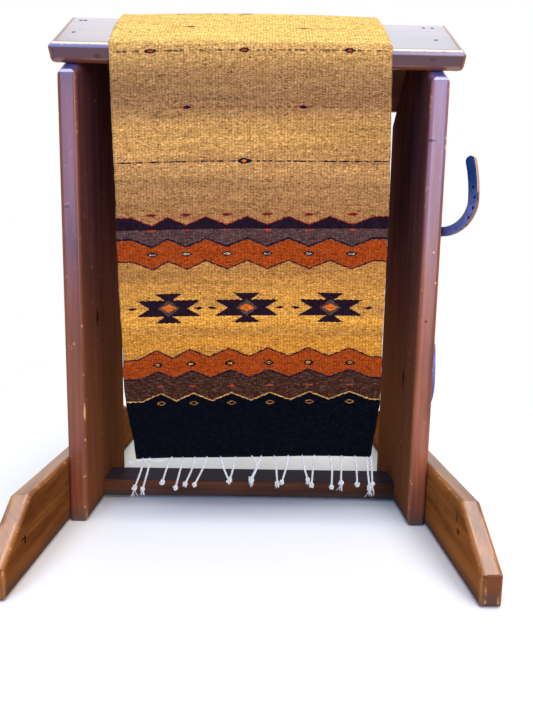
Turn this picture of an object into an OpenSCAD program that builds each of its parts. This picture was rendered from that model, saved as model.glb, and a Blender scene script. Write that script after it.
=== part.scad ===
// Saddle stand: two boarded uprights on long feet, a low rail, and a gable roof of two boards
// that a saddle sits on. A wool rug with cotton fringes lies over the ridge and lifts straight off.
// A bent horseshoe on the right upright is a hook, and a flat one is nailed below it.
//
// +X is to the right, +Y to the back and +Z up. The origin is on the floor, midway between the
// uprights and midway between the front and back ends of the feet. All sizes are in millimetres.

/* [Boards] */
// Thickness of every board
board_t = 38; // [30:1:50]
// Rounding of the long arrises of the uprights
arris_r = 8; // [3:0.5:11]
// Rounding of the long arrises of the roof boards
roof_arris_r = 12; // [5:0.5:15]
// Rounding of the long arrises of the feet
foot_arris_r = 11; // [3:0.5:13]
// Rounding of the long arrises of the lower rail, and of the corners of the feet and uprights
small_r = 5; // [2:0.5:9]

/* [Uprights] */
// Clear distance between the two uprights
upright_gap = 668; // [600:1:760]
// Depth of an upright, front to back
upright_d = 324; // [280:1:340]
// Width of the front board of an upright; the back board takes the rest
front_board_w = 184; // [140:1:220]
// Height of the gable's peak on an upright
peak_h = 1014; // [900:1:1100]
// Rounding of an upright's corners under the eaves
eave_corner_r = 14; // [8:1:24]
// Rounding of an upright's arrises under the roof boards
slope_arris_r = 14; // [8:1:15]
// Rounding of the arrises at an upright's lower end
base_arris_r = 13; // [5:1:15]

/* [Roof] */
// Slope of the roof boards, in degrees
roof_slope = 37; // [30:0.5:42]
// Width of a roof board, measured up the slope
roof_board_w = 176; // [165:1:200]
// How far a roof board runs past the outer face of an upright
roof_overhang = 24; // [6:1:40]
// How far to the right of the uprights' middle the roof boards sit
roof_shift = 6; // [-10:1:12]
// Rounding of the top and bottom arrises of a roof board's ends
roof_end_r = 17; // [8:1:18]
// Open joint between the two roof boards at the ridge
ridge_gap = 3; // [1:0.5:8]

/* [Feet] */
// Length of a foot, front to back
foot_len = 924; // [780:2:1000]
// Height of a foot
foot_h = 132; // [115:1:160]
// Height of the upright end of a foot, below its slope
foot_nose_h = 56; // [35:1:80]
// Rounding of a foot's lower corners
foot_toe_r = 10; // [3:0.5:16]
// Length of the slope at each end of a foot
foot_slope_run = 114; // [60:1:150]

/* [Lower rail] */
// Depth of the lower rail, front to back
rail_d = 86; // [70:1:110]
// Height of the rail's underside above the floor
rail_lift = 9; // [4:1:20]
// How far the rail's middle lies behind the middle of the uprights
rail_back = 5; // [-10:1:20]

/* [Screws] */
// Diameter of a screw head
screw_head_d = 8; // [6:0.5:10]
// Height of a screw head
screw_head_h = 3; // [2:0.5:4]
// Depth of a screw head below the wood
screw_sink = 0.5; // [0.2:0.1:1.5]
// Diameter of a screw's shank
screw_d = 4.2; // [3:0.1:5]
// Length of a roof or foot screw, from under the head
screw_len = 62; // [52:1:66]
// Length of a rail screw, from under the head
rail_screw_len = 90; // [70:1:110]
// Radial clearance of a fastener in its hole
hole_clear = 0.1; // [0.05:0.05:0.3]
// Distance of the upper roof screws from the ridge end of the board
ridge_screw_in = 30; // [20:1:40]
// Distance of the lower roof screws from the eave end of the board
eave_screw_in = 66; // [55:1:80]
// Spacing of the two upper roof screws on the left upright
left_pair = 9; // [8.5:0.5:18]
// Spacing of the two upper roof screws on the right upright
right_pair = 18; // [9:0.5:20]
// Front-to-back spacing of the foot screws
foot_screw_y = 220; // [160:2:240]
// Height of the lower foot screws
foot_screw_low = 40; // [34:1:46]
// Height of the upper foot screws
foot_screw_high = 98; // [80:1:104]
// Front-to-back spacing of the rail screws
rail_screw_y = 44; // [30:1:54]

/* [Horseshoes] */
// Radius of a shoe's round outer edge
shoe_r = 66.5; // [60:0.5:72]
// Length of a shoe, from the toe to the tips of its heels
shoe_len = 150; // [136:1:156]
// Width of the bar that a shoe is forged from
shoe_web = 18; // [16:0.5:21]
// Thickness of a shoe
shoe_t = 10; // [7:0.5:12]
// How far the heels turn in from the widest point
heel_in = 10; // [8:0.5:20]
// Angle that the hook is bent out at its toe, in degrees
hook_bend = 44; // [25:1:70]
// Inside radius of that bend
hook_bend_r = 12; // [8:0.5:16]
// Distance of the bend behind the upright's front edge
hook_setback = 32; // [26:1:50]
// Height of the hook's toe above the floor
hook_h = 599.5; // [450:0.5:700]
// Distance of the flat shoe behind the upright's front edge
flat_shoe_setback = 22; // [12:1:60]
// Height of the flat shoe's toe above the floor
flat_shoe_h = 235; // [180:1:300]
// Nail holes in each branch
nail_count = 4; // [2:1:4]
// Angle between two nail holes, seen from the middle of the shoe
nail_pitch = 18; // [15:0.5:20]
// Angle of the first nail hole, below the widest point
nail_first = 33; // [28:0.5:36]
// Width of a nail hole, across the bar
nail_hole_w = 3.2; // [2.6:0.1:4]
// Length of a nail hole, along the bar
nail_hole_l = 5.5; // [4.5:0.1:7]
// Distance of the nail holes from the shoe's outer edge
nail_inset = 5; // [4:0.5:7]
// Length of a nail in the wood
nail_len = 24; // [16:1:30]
// How far a nail's head stands out of a shoe
nail_proud = 1; // [0.5:0.1:2]

/* [Rug] */
// Width of the rug
rug_w = 528; // [460:2:560]
// Width of the rug at its hems, where the weaving draws in
rug_hem_w = 484; // [440:2:520]
// Length over which the rug draws in
rug_taper = 260; // [150:5:320]
// Thickness of the rug
rug_t = 5; // [3:0.5:8]
// Drop of the rug's front below the eave
front_drop = 786; // [600:1:840]
// Drop of the rug's back below the eave
back_drop = 375; // [250:1:500]
// How far the rug's middle lies left of the stand's middle
rug_left = 6; // [0:1:20]
// Inside radius of the rug's bend over the ridge
rug_ridge_r = 20; // [12:1:34]
// Clearance between the rug and the wood
rug_clear = 0.3; // [0.2:0.1:1]
// Strands in a fringe
fringe_count = 18; // [12:1:24]
// Diameter of a fringe strand
strand_d = 3.2; // [2:0.1:4.5]
// Length of a fringe strand
strand_len = 76; // [40:1:90]

/* [Hidden] */
$fn = 48;

stain = [0.42, 0.22, 0.13];
foot_stain = [0.5, 0.28, 0.15];
blued = [0.16, 0.2, 0.32];
screw_tone = [0.25, 0.25, 0.27];
gold_wool = [0.72, 0.5, 0.22];
cotton = [0.92, 0.9, 0.85];

// Faces of the uprights
inner_x = upright_gap / 2;
face_x = inner_x + board_t;
front_y = -upright_d / 2;
glue_y = front_y + front_board_w;
eave_top_h = peak_h - upright_d / 2 * tan(roof_slope);

// The roof boards are square cut, so their top arrises stand apart at the ridge
roof_len = 2 * (face_x + roof_overhang);
eave_y = ridge_gap / 2 + board_t * sin(roof_slope) + roof_board_w * cos(roof_slope);
roof_apex_h = peak_h + board_t / cos(roof_slope);
eave_h = roof_apex_h - eave_y * tan(roof_slope);

// Middle of the eave's rounded top arris, which the rug bends round
bend_y = eave_y - roof_arris_r * (cos(roof_slope) + sin(roof_slope));
bend_h = eave_h + roof_arris_r * (sin(roof_slope) - cos(roof_slope));
// Middle of the rug's bend over the ridge, and the inside of its hanging front
ridge_bend_h = roof_apex_h - rug_ridge_r / cos(roof_slope);
hang_y = bend_y + roof_arris_r + rug_clear;

// Half of a shoe: a quarter ring at the toe, then a flatter arc to the heel
branch_rise = shoe_len - shoe_web / 2 - shoe_r;
branch_r = (branch_rise * branch_rise + heel_in * heel_in) / (2 * heel_in);
branch_angle = asin(branch_rise / branch_r);
toe_bar = (hook_bend_r + shoe_t / 2) * hook_bend * PI / 180;
nail_r = shoe_r - nail_inset;
nail_angles = [for (i = [0 : nail_count - 1]) i * nail_pitch - nail_first];
hook_y = front_y + hook_setback;
flat_shoe_y = front_y + flat_shoe_setback + toe_bar / 2 + shoe_r;
nail_w = nail_hole_w - 2 * hole_clear;
nail_l = nail_hole_l - 2 * hole_clear;

// Height of the rail's middle
rail_h = rail_lift + board_t / 2;
// Longer than anything on the stand
far = 2 * peak_h;
// Angle between two points of an arc
arc_step = 5;

// ---- shared shapes ----

function unit(v) = v / norm(v);

function reversed(list) = [for (i = [len(list) - 1 : -1 : 0]) list[i]];

// The two points where the rounding at corner p meets its sides
function rounding_ends(a, p, b, r) =
    let (half = acos(unit(a - p) * unit(b - p)) / 2)
    [p + unit(a - p) * r / tan(half), p + unit(b - p) * r / tan(half)];

function rounding_middle(a, p, b, r) =
    let (half = acos(unit(a - p) * unit(b - p)) / 2)
    p + unit(unit(a - p) + unit(b - p)) * r / sin(half);

module rounded_rect(w, h, r) {
    translate([r, 0]) square([w - 2 * r, h]);
    translate([0, r]) square([w, h - 2 * r]);
    for (x = [r, w - r], y = [r, h - r])
        translate([x, y]) circle(r);
}

// A block with all its edges rounded, those across its ends by end_r
module eased_block(size, r, end_r) {
    intersection() {
        linear_extrude(size.z) rounded_rect(size.x, size.y, r);
        translate([0, size.y, 0]) rotate([90, 0, 0])
            linear_extrude(size.y) rounded_rect(size.x, size.z, end_r);
        rotate([90, 0, 90]) linear_extrude(size.x) rounded_rect(size.y, size.z, r);
    }
}

// Convex outline with a rounding of its own at each corner
module rounded_outline(points, radii) {
    n = len(points);
    polygon([for (i = [0 : n - 1])
        each rounding_ends(points[(i + n - 1) % n], points[i], points[(i + 1) % n], radii[i])]);
    for (i = [0 : n - 1])
        translate(rounding_middle(points[(i + n - 1) % n], points[i], points[(i + 1) % n], radii[i]))
            circle(radii[i]);
}

// Everything on the inner side of the edge from p to q, one board thick, with rounded arrises
module arris_slab(p, q, r) {
    translate([0, p.x, p.y]) rotate([atan2(q.x - p.x, p.y - q.y), 0, 0])
        linear_extrude(2 * far, center = true) rounded_rect(board_t, far, r);
}

// A board cut to a convex outline in Y and Z. radii are the roundings of its corners, and
// arris_radii those of the arrises that start at each corner.
module plank(points, radii, arris_radii) {
    intersection() {
        rotate([90, 0, 90]) linear_extrude(board_t) rounded_outline(points, radii);
        intersection_for (i = [0 : len(points) - 1])
            arris_slab(points[i], points[(i + 1) % len(points)], arris_radii[i]);
    }
}

// Puts its children on the front slope: Y up the slope from the eave, Z square to the wood
module on_front_slope() {
    translate([0, -eave_y, eave_h]) rotate([roof_slope, 0, 0]) children();
}

// Puts its children on an outer face of the stand: Z points out of the face
module on_side(side, x) {
    translate([side * x, 0, 0]) rotate([0, side * 90, 0]) children();
}

// ---- fasteners ----

// The mouth of the head's counterbore is at the origin, and the screw points down
module screw(length) {
    cross_l = screw_head_d / 2;
    cross_w = screw_head_d / 8;
    seat = -screw_sink - screw_head_h;
    point_l = screw_d;
    difference() {
        translate([0, 0, seat]) cylinder(d = screw_head_d, h = screw_head_h);
        for (turn = [0, 90])
            rotate(turn) translate([-cross_l / 2, -cross_w / 2, seat + screw_head_h / 2])
                cube([cross_l, cross_w, screw_head_h]);
    }
    translate([0, 0, seat - length + point_l]) cylinder(d = screw_d, h = length - point_l);
    translate([0, 0, seat - length]) cylinder(d1 = screw_d / 4, d2 = screw_d, h = point_l);
}

module screw_hole(length) {
    seat = -screw_sink - screw_head_h;
    translate([0, 0, seat])
        cylinder(d = screw_head_d + 2 * hole_clear, h = screw_head_h + 2 * screw_sink);
    translate([0, 0, seat - length - hole_clear])
        cylinder(d = screw_d + 2 * hole_clear, h = length + 2 * hole_clear);
}

// Where the roof screws go in: [x, distance up the slope]
function roof_screw_places(side) =
    let (mid = side * (inner_x + board_t / 2), pair = side < 0 ? left_pair : right_pair)
    [[mid - pair / 2, roof_board_w - ridge_screw_in],
     [mid + pair / 2, roof_board_w - ridge_screw_in],
     [mid, eave_screw_in]];

module at_roof_screws(side) {
    for (back = [0, 1], p = roof_screw_places(side))
        mirror([0, back, 0]) on_front_slope() translate([p.x, p.y, 0]) children();
}

module at_foot_screws(side) {
    for (y = [-foot_screw_y / 2, foot_screw_y / 2], z = [foot_screw_low, foot_screw_high])
        translate([0, y, z]) on_side(side, face_x + board_t) children();
}

module at_rail_screws(side) {
    for (y = [-rail_screw_y / 2, rail_screw_y / 2])
        translate([0, rail_back + y, rail_h]) on_side(side, face_x) children();
}

module foot_screws(side) {
    at_foot_screws(side) screw(screw_len);
}

// ---- wood ----

module roof_board() {
    difference() {
        on_front_slope() translate([roof_shift - roof_len / 2, 0, -board_t])
            eased_block([roof_len, roof_board_w, board_t], roof_arris_r, roof_end_r);
        for (side = [-1, 1], p = roof_screw_places(side))
            on_front_slope() translate([p.x, p.y, 0]) screw_hole(screw_len);
    }
}

module front_roof_board() {
    color(stain) roof_board();
}

module rear_roof_board() {
    color(stain) mirror([0, 1, 0]) roof_board();
}

module whole_upright(side) {
    peak_r = ridge_gap / 2;
    difference() {
        translate([side < 0 ? -face_x : inner_x, 0, 0])
            plank([[front_y, 0], [-front_y, 0], [-front_y, eave_top_h],
                   [0, peak_h], [front_y, eave_top_h]],
                  [small_r, small_r, eave_corner_r, peak_r, eave_corner_r],
                  [base_arris_r, arris_r, slope_arris_r, slope_arris_r, arris_r]);
        at_roof_screws(side) screw_hole(screw_len);
        at_foot_screws(side) screw_hole(screw_len);
        at_rail_screws(side) screw_hole(rail_screw_len);
        if (side > 0) nail_holes();
    }
}

module front_half(side) {
    intersection() {
        whole_upright(side);
        translate([-far / 2, front_y - far, -far / 2]) cube([far, far + front_board_w, 2 * far]);
    }
}

module rear_half(side) {
    intersection() {
        whole_upright(side);
        translate([-far / 2, glue_y, -far / 2]) cube([far, far, 2 * far]);
    }
}

module left_upright_front_board() {
    color(stain) front_half(-1);
}

module left_upright_rear_board() {
    color(stain) rear_half(-1);
}

module right_upright_front_board() {
    color(stain) front_half(1);
}

module right_upright_rear_board() {
    color(stain) rear_half(1);
}

module lower_rail() {
    color(stain) difference() {
        translate([-inner_x, rail_back - rail_d / 2, rail_lift]) rotate([90, 0, 90])
            linear_extrude(upright_gap) rounded_rect(rail_d, board_t, small_r);
        for (side = [-1, 1])
            at_rail_screws(side) screw_hole(rail_screw_len);
    }
}

module foot(side) {
    radii = [foot_toe_r, foot_toe_r, small_r, small_r, small_r, small_r];
    end_y = foot_len / 2;
    color(foot_stain) difference() {
        translate([side < 0 ? -face_x - board_t : face_x, 0, 0])
            plank([[-end_y, 0], [end_y, 0], [end_y, foot_nose_h],
                   [end_y - foot_slope_run, foot_h], [foot_slope_run - end_y, foot_h],
                   [-end_y, foot_nose_h]],
                  radii, [for (r = radii) foot_arris_r]);
        at_foot_screws(side) screw_hole(screw_len);
    }
}

module left_foot() {
    foot(-1);
}

module right_foot() {
    foot(1);
}

module roof_screws() {
    color(screw_tone) for (side = [-1, 1])
        at_roof_screws(side) screw(screw_len);
}

module left_foot_screws() {
    color(screw_tone) foot_screws(-1);
}

module right_foot_screws() {
    color(screw_tone) foot_screws(1);
}

module rail_screws() {
    color(screw_tone) for (side = [-1, 1])
        at_rail_screws(side) screw(rail_screw_len);
}

// ---- horseshoes ----

// At each nail hole of a half shoe: X across the bar, Y along it, Z out of the shoe's face
module at_nails() {
    for (a = nail_angles)
        translate([nail_r * cos(a), shoe_r + nail_r * sin(a), 0]) rotate(a) children();
}

// Points along an arc, in steps of about arc_step degrees
function arc(middle, r, from, to) =
    let (steps = ceil(abs(to - from) / arc_step))
    [for (i = [0 : steps]) middle + r * [cos(from + (to - from) * i / steps),
                                         sin(from + (to - from) * i / steps)]];

// Outline of half a shoe: X outwards from the middle of the toe, Y up to the heel
half_outline =
    let (toe_middle = [0, shoe_r],
         branch_middle = [shoe_r - branch_r, shoe_r],
         heel_middle = branch_middle
             + (branch_r - shoe_web / 2) * [cos(branch_angle), sin(branch_angle)])
    concat(
        arc(toe_middle, shoe_r, -90, -arc_step),
        arc(branch_middle, branch_r, 0, branch_angle),
        arc(heel_middle, shoe_web / 2, branch_angle + arc_step, branch_angle + 180 - arc_step),
        arc(branch_middle, branch_r - shoe_web, branch_angle, 0),
        arc(toe_middle, shoe_r - shoe_web, -arc_step, -90));

module nail_slots() {
    through = 3 * shoe_t;
    at_nails() cube([nail_hole_w, nail_hole_l, through], center = true);
}

module half_shoe() {
    difference() {
        linear_extrude(shoe_t) polygon(half_outline);
        nail_slots();
    }
}

// The flat branch lies on the upright, and the other is bent out at the toe
module horseshoe_hook() {
    color(blued) translate([face_x, hook_y, hook_h]) {
        rotate([90, 0, 90]) half_shoe();
        translate([shoe_t + hook_bend_r, 0, 0]) {
            linear_extrude(shoe_web) polygon(concat(
                arc([0, 0], hook_bend_r + shoe_t, 180, 180 + hook_bend),
                arc([0, 0], hook_bend_r, 180 + hook_bend, 180)));
            rotate(hook_bend) translate([-hook_bend_r, 0, 0])
                rotate([90, 0, -90]) half_shoe();
        }
    }
}

module on_flat_shoe() {
    translate([face_x, flat_shoe_y, flat_shoe_h]) rotate([90, 0, 90]) children();
}

// Puts its children on each half of the flat shoe
module on_both_halves() {
    for (m = [0, 1])
        mirror([m, 0, 0]) translate([toe_bar / 2, 0, 0]) children();
}

module flat_horseshoe() {
    color(blued) on_flat_shoe() difference() {
        linear_extrude(shoe_t) polygon(concat(
            [for (p = half_outline) [p.x + toe_bar / 2, p.y]],
            [for (p = reversed(half_outline)) [-p.x - toe_bar / 2, p.y]]));
        on_both_halves() nail_slots();
    }
}

// A square-cut nail: its head fills the shoe's hole and stands a little proud, and its shank is
// in the wood
module nail(grow) {
    w = nail_w + 2 * grow;
    l = nail_l + 2 * grow;
    translate([-w / 2, -l / 2, -nail_len - grow])
        cube([w, l, nail_len + shoe_t + nail_proud + grow]);
}

module at_hook_nails() {
    translate([face_x, hook_y, hook_h]) rotate([90, 0, 90]) at_nails() children();
}

module at_flat_shoe_nails() {
    on_flat_shoe() on_both_halves() at_nails() children();
}

module nail_holes() {
    at_hook_nails() nail(hole_clear);
    at_flat_shoe_nails() nail(hole_clear);
}

module hook_nails() {
    color(blued) at_hook_nails() nail(0);
}

module flat_horseshoe_nails() {
    color(blued) at_flat_shoe_nails() nail(0);
}

// ---- rug ----

// Path over the roof in Y and Z, at a distance from the wood: eave, ridge and eave
function over_roof(off) = [
    for (a = [180 : -arc_step : 90 + roof_slope])
        [-bend_y, bend_h] + (roof_arris_r + off) * [cos(a), sin(a)],
    for (a = [90 + roof_slope : -arc_step : 90 - roof_slope])
        [0, ridge_bend_h] + (rug_ridge_r + off) * [cos(a), sin(a)],
    for (a = [90 - roof_slope : -arc_step : 0])
        [bend_y, bend_h] + (roof_arris_r + off) * [cos(a), sin(a)],
    [bend_y + roof_arris_r + off, bend_h]
];

// Rug hanging below an eave, drawn in towards its hem
module hanging_end(drop) {
    straight = drop - rug_taper;
    rotate([90, 0, 0]) linear_extrude(rug_t)
        polygon([[-rug_w / 2, 0], [-rug_w / 2, -straight], [-rug_hem_w / 2, -drop],
                 [rug_hem_w / 2, -drop], [rug_w / 2, -straight], [rug_w / 2, 0]]);
}

module rug() {
    color(gold_wool) translate([-rug_left, 0, 0]) {
        translate([-rug_w / 2, 0, 0]) rotate([90, 0, 90]) linear_extrude(rug_w)
            polygon(concat(over_roof(rug_clear + rug_t), reversed(over_roof(rug_clear))));
        translate([0, -hang_y, bend_h]) hanging_end(front_drop);
        translate([0, hang_y + rug_t, bend_h]) hanging_end(back_drop);
    }
}

// Strands spread evenly along a hem
module fringe(y, hem_h) {
    pitch = rug_hem_w / fringe_count;
    color(cotton) for (i = [0 : fringe_count - 1])
        translate([(i + 0.5) * pitch - rug_hem_w / 2 - rug_left, y, hem_h - strand_len])
            cylinder(d = strand_d, h = strand_len);
}

module front_fringe() {
    fringe(-hang_y - rug_t / 2, bend_h - front_drop);
}

module rear_fringe() {
    fringe(hang_y + rug_t / 2, bend_h - back_drop);
}

front_roof_board();
rear_roof_board();
left_upright_front_board();
left_upright_rear_board();
right_upright_front_board();
right_upright_rear_board();
lower_rail();
left_foot();
right_foot();
roof_screws();
left_foot_screws();
right_foot_screws();
rail_screws();
horseshoe_hook();
hook_nails();
flat_horseshoe();
flat_horseshoe_nails();
rug();
front_fringe();
rear_fringe();
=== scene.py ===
"""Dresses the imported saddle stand: stained wood, forged horseshoes, a woven wool rug, its fringes.

The frame is in metres: +X to the right, +Y to the back, +Z up, with the floor at Z = 0.
"""
import random
from bisect import bisect_right
from functools import partial, reduce
from math import cos, exp, hypot, pi, radians, sin, sqrt, tau
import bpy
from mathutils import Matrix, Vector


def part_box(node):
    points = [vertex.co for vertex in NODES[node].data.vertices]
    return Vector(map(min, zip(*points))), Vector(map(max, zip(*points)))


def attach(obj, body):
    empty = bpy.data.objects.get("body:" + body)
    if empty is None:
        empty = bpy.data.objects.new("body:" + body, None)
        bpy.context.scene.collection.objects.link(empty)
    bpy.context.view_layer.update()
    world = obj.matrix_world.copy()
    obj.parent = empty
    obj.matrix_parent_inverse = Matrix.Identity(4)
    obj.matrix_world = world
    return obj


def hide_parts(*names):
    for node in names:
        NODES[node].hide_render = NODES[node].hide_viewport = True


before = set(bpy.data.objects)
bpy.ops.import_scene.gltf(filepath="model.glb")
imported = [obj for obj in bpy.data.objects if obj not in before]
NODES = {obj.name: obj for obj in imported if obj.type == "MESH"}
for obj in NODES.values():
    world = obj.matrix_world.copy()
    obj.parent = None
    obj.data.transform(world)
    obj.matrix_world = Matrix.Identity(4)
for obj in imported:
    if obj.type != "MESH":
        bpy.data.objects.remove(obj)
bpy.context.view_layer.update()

from types import SimpleNamespace

import bmesh
import bpy
import numpy as np
from mathutils import Matrix, Vector, noise
from mathutils.bvhtree import BVHTree

MM = 0.001

# ---- what the frame gives ----
ROOF_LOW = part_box("front_roof_board")[0]
RUG_LOW, RUG_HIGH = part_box("rug")
HOOK_LOW, HOOK_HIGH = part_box("horseshoe_hook")
LEFT_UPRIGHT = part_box("left_upright_front_board")
RIGHT_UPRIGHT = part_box("right_upright_front_board")
LEFT_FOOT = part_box("left_foot")
RIGHT_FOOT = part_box("right_foot")

# ---- the rug, as it lies on the roof ----
ROOF_SLOPE = radians(37)
EAVE_R = 0.012  # rounding of the eave that the rug bends round
RIDGE_R = 0.020  # inside radius of the rug over the ridge
RUG_T = 0.0045
RUG_CLEAR = 0.0006
RUG_W = 0.528
CENTRE_DROP = 0.0040  # the rug's middle row hangs this far below the front eave's bend
HEM_SAG = 0.0034  # how far the front hem has stretched
CELL = 0.004  # mesh spacing of the rug

HOLE_W = 0.012  # wider than a nail hole
HOOK_BEND = radians(44)  # how far the hook's free branch is bent out

# ---- the camera, fitted to the photo ----
CAMERA_PLACE = Vector((0.0216, -1.2879, 0.5107))
CAMERA_TURNS = (0.562, 7.806, -1.044)  # yaw, pitch and roll in degrees
SENSOR_H = 36  # millimetres, like the lens
CAMERA_LENS = 28.62

# ---- light and floor ----
KEY_DIRECTION = (-0.12, 0.2, -0.97)
KEY_STRENGTH = 2.9
KEY_COLOUR = (1.0, 0.985, 0.96)
KEY_SPREAD = radians(70)  # as wide as a bright sky
# Each soft box: name, place, target, size, power and colour
SOFT_BOXES = (
    ("left_strip", (-1.55, -3.5, 1.75), (-0.35, 0, 0.75), (1.3, 2.2), 74, (0.10, 0.36, 1.0)),
    ("right_strip", (1.45, -3.5, 1.5), (0.35, 0, 0.75), (1.3, 2.4), 82, (0.72, 0.74, 1.0)),
    ("roof_box", (0, 2.6, 4.2), (0, 0, 1.0), (3.6, 2.6), 60, (0.58, 0.80, 1.0)),
    ("sky_box", (0, -2.2, 3.8), (0, 0, 0.8), (4.5, 1.6), 30, (0.35, 0.5, 1.0)))
SURROUND = (0.93, 0.96, 1.0, 1)
SURROUND_STRENGTH = 0.3
WHITE = (1, 1, 1, 1)
FLOOR_HALF = 9.0
FLOOR_GAP = 0.0003  # keeps the floor clear of the feet's undersides
FADE_FROM, FADE_TO = 0.55, 1.7  # where the floor turns into the white surround

# ---- the weave, in millimetres ----
WARP = 5.9
BEAD = 2.1


def srgb(*channels):
    """A colour given as 0 to 255, as the linear values that shaders take."""
    shares = [c / 255 for c in channels]
    return (*[c / 12.92 if c <= 0.04045 else ((c + 0.055) / 1.055) ** 2.4 for c in shares], 1.0)


# ---- camera, light and floor ----

def put(name, data):
    """A new object in the scene."""
    made = bpy.data.objects.new(name, data)
    bpy.context.scene.collection.objects.link(made)
    return made


def make_camera():
    """The camera is half a metre up in front of the stand, and looks slightly down."""
    yaw, pitch, roll = (radians(a) for a in CAMERA_TURNS)
    level_right = Vector((cos(yaw), -sin(yaw), 0))
    level_ahead = Vector((sin(yaw), cos(yaw), 0))
    ahead = cos(pitch) * level_ahead - sin(pitch) * Vector((0, 0, 1))
    above = sin(pitch) * level_ahead + cos(pitch) * Vector((0, 0, 1))
    right = cos(roll) * level_right - sin(roll) * above
    up = sin(roll) * level_right + cos(roll) * above
    data = bpy.data.cameras.new("camera")
    data.sensor_fit = "VERTICAL"
    data.sensor_height = SENSOR_H
    data.lens = CAMERA_LENS
    data.clip_start = 0.02
    camera = put("camera", data)
    turn = Matrix((right, up, -ahead)).transposed()
    camera.matrix_world = Matrix.Translation(CAMERA_PLACE) @ turn.to_4x4()
    bpy.context.scene.camera = camera


def add_lamp(name, kind, direction, power, colour):
    data = bpy.data.lights.new(name, kind)
    data.energy = power
    data.color = colour
    lamp = put(name, data)
    lamp.rotation_euler = Vector(direction).to_track_quat("-Z", "Y").to_euler()
    return lamp


def soft_box(name, place, target, size, power, colour):
    """A large area lamp that faces its target."""
    lamp = add_lamp(name, "AREA", Vector(target) - Vector(place), power, colour)
    lamp.data.shape = "RECTANGLE"
    lamp.data.size, lamp.data.size_y = size
    lamp.location = place
    lamp.visible_camera = False


def seen_directly(g):
    """1 for rays from the camera, from a gloss or through glass."""
    path = g.node("LightPath")
    kinds = ("Camera", "Glossy", "Transmission")
    return g.most(*[Value(g, path.outputs[f"Is {kind} Ray"]) for kind in kinds])


def make_light():
    """A soft key from above, cool boxes whose gloss lies on the front faces and on the roof, and a
    white surround."""
    key = add_lamp("key", "SUN", KEY_DIRECTION, KEY_STRENGTH, KEY_COLOUR)
    key.data.angle = KEY_SPREAD
    for settings in SOFT_BOXES:
        soft_box(*settings)
    world = bpy.data.worlds.new("studio")
    bpy.context.scene.world = world
    world.use_nodes = True
    g = Graph.of_tree(world.node_tree)
    g.tree.nodes.clear()
    lit = g.glow("Background", SURROUND, SURROUND_STRENGTH)
    shown = g.glow("Background", WHITE, 1)
    surface = g.mix_shaders(seen_directly(g), lit, shown)
    g.tree.links.new(surface, g.node("OutputWorld").inputs["Surface"])


def make_floor():
    """Pale paint that takes the stand's shadow, and fades into the white surround away from it."""
    mesh = bpy.data.meshes.new("floor")
    corners = [(x * FLOOR_HALF, y * FLOOR_HALF, 0) for x, y in ((-1, -1), (1, -1), (1, 1), (-1, 1))]
    mesh.from_pydata(corners, [], [(0, 1, 2, 3)])
    floor = put("floor", mesh)
    floor.location.z = -FLOOR_GAP
    g = Graph("pale_floor", Base_Color=(0.80, 0.765, 0.71, 1), Roughness=0.9, Specular_IOR_Level=0.1)
    away = g.length(*g.place()[:2])
    share = g.ramp(away, FADE_FROM, FADE_TO) * seen_directly(g)
    surface = g.mix_shaders(share, g.shader, g.glow("Emission", WHITE, 1))
    g.tree.links.new(surface, g.tree.nodes["Material Output"].inputs["Surface"])
    mesh.materials.append(g.material)


# ---- shader arithmetic ----

def operator(operation, swapped=False):
    """A method that adds the Math node of an arithmetic sign."""
    def method(self, other):
        values = (other, self) if swapped else (self, other)
        return self.graph.math(operation, *values)
    return method


class Value:
    """A number or colour that shader nodes work out. Arithmetic on it adds Math nodes."""

    def __init__(self, graph, socket):
        self.graph = graph
        self.socket = socket

    __add__ = __radd__ = operator("ADD")
    __sub__ = operator("SUBTRACT")
    __rsub__ = operator("SUBTRACT", swapped=True)
    __mul__ = __rmul__ = operator("MULTIPLY")
    __truediv__ = operator("DIVIDE")
    __lt__ = operator("LESS_THAN")
    __gt__ = operator("GREATER_THAN")

    def __abs__(self):
        return self.graph.math("ABSOLUTE", self)


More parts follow.
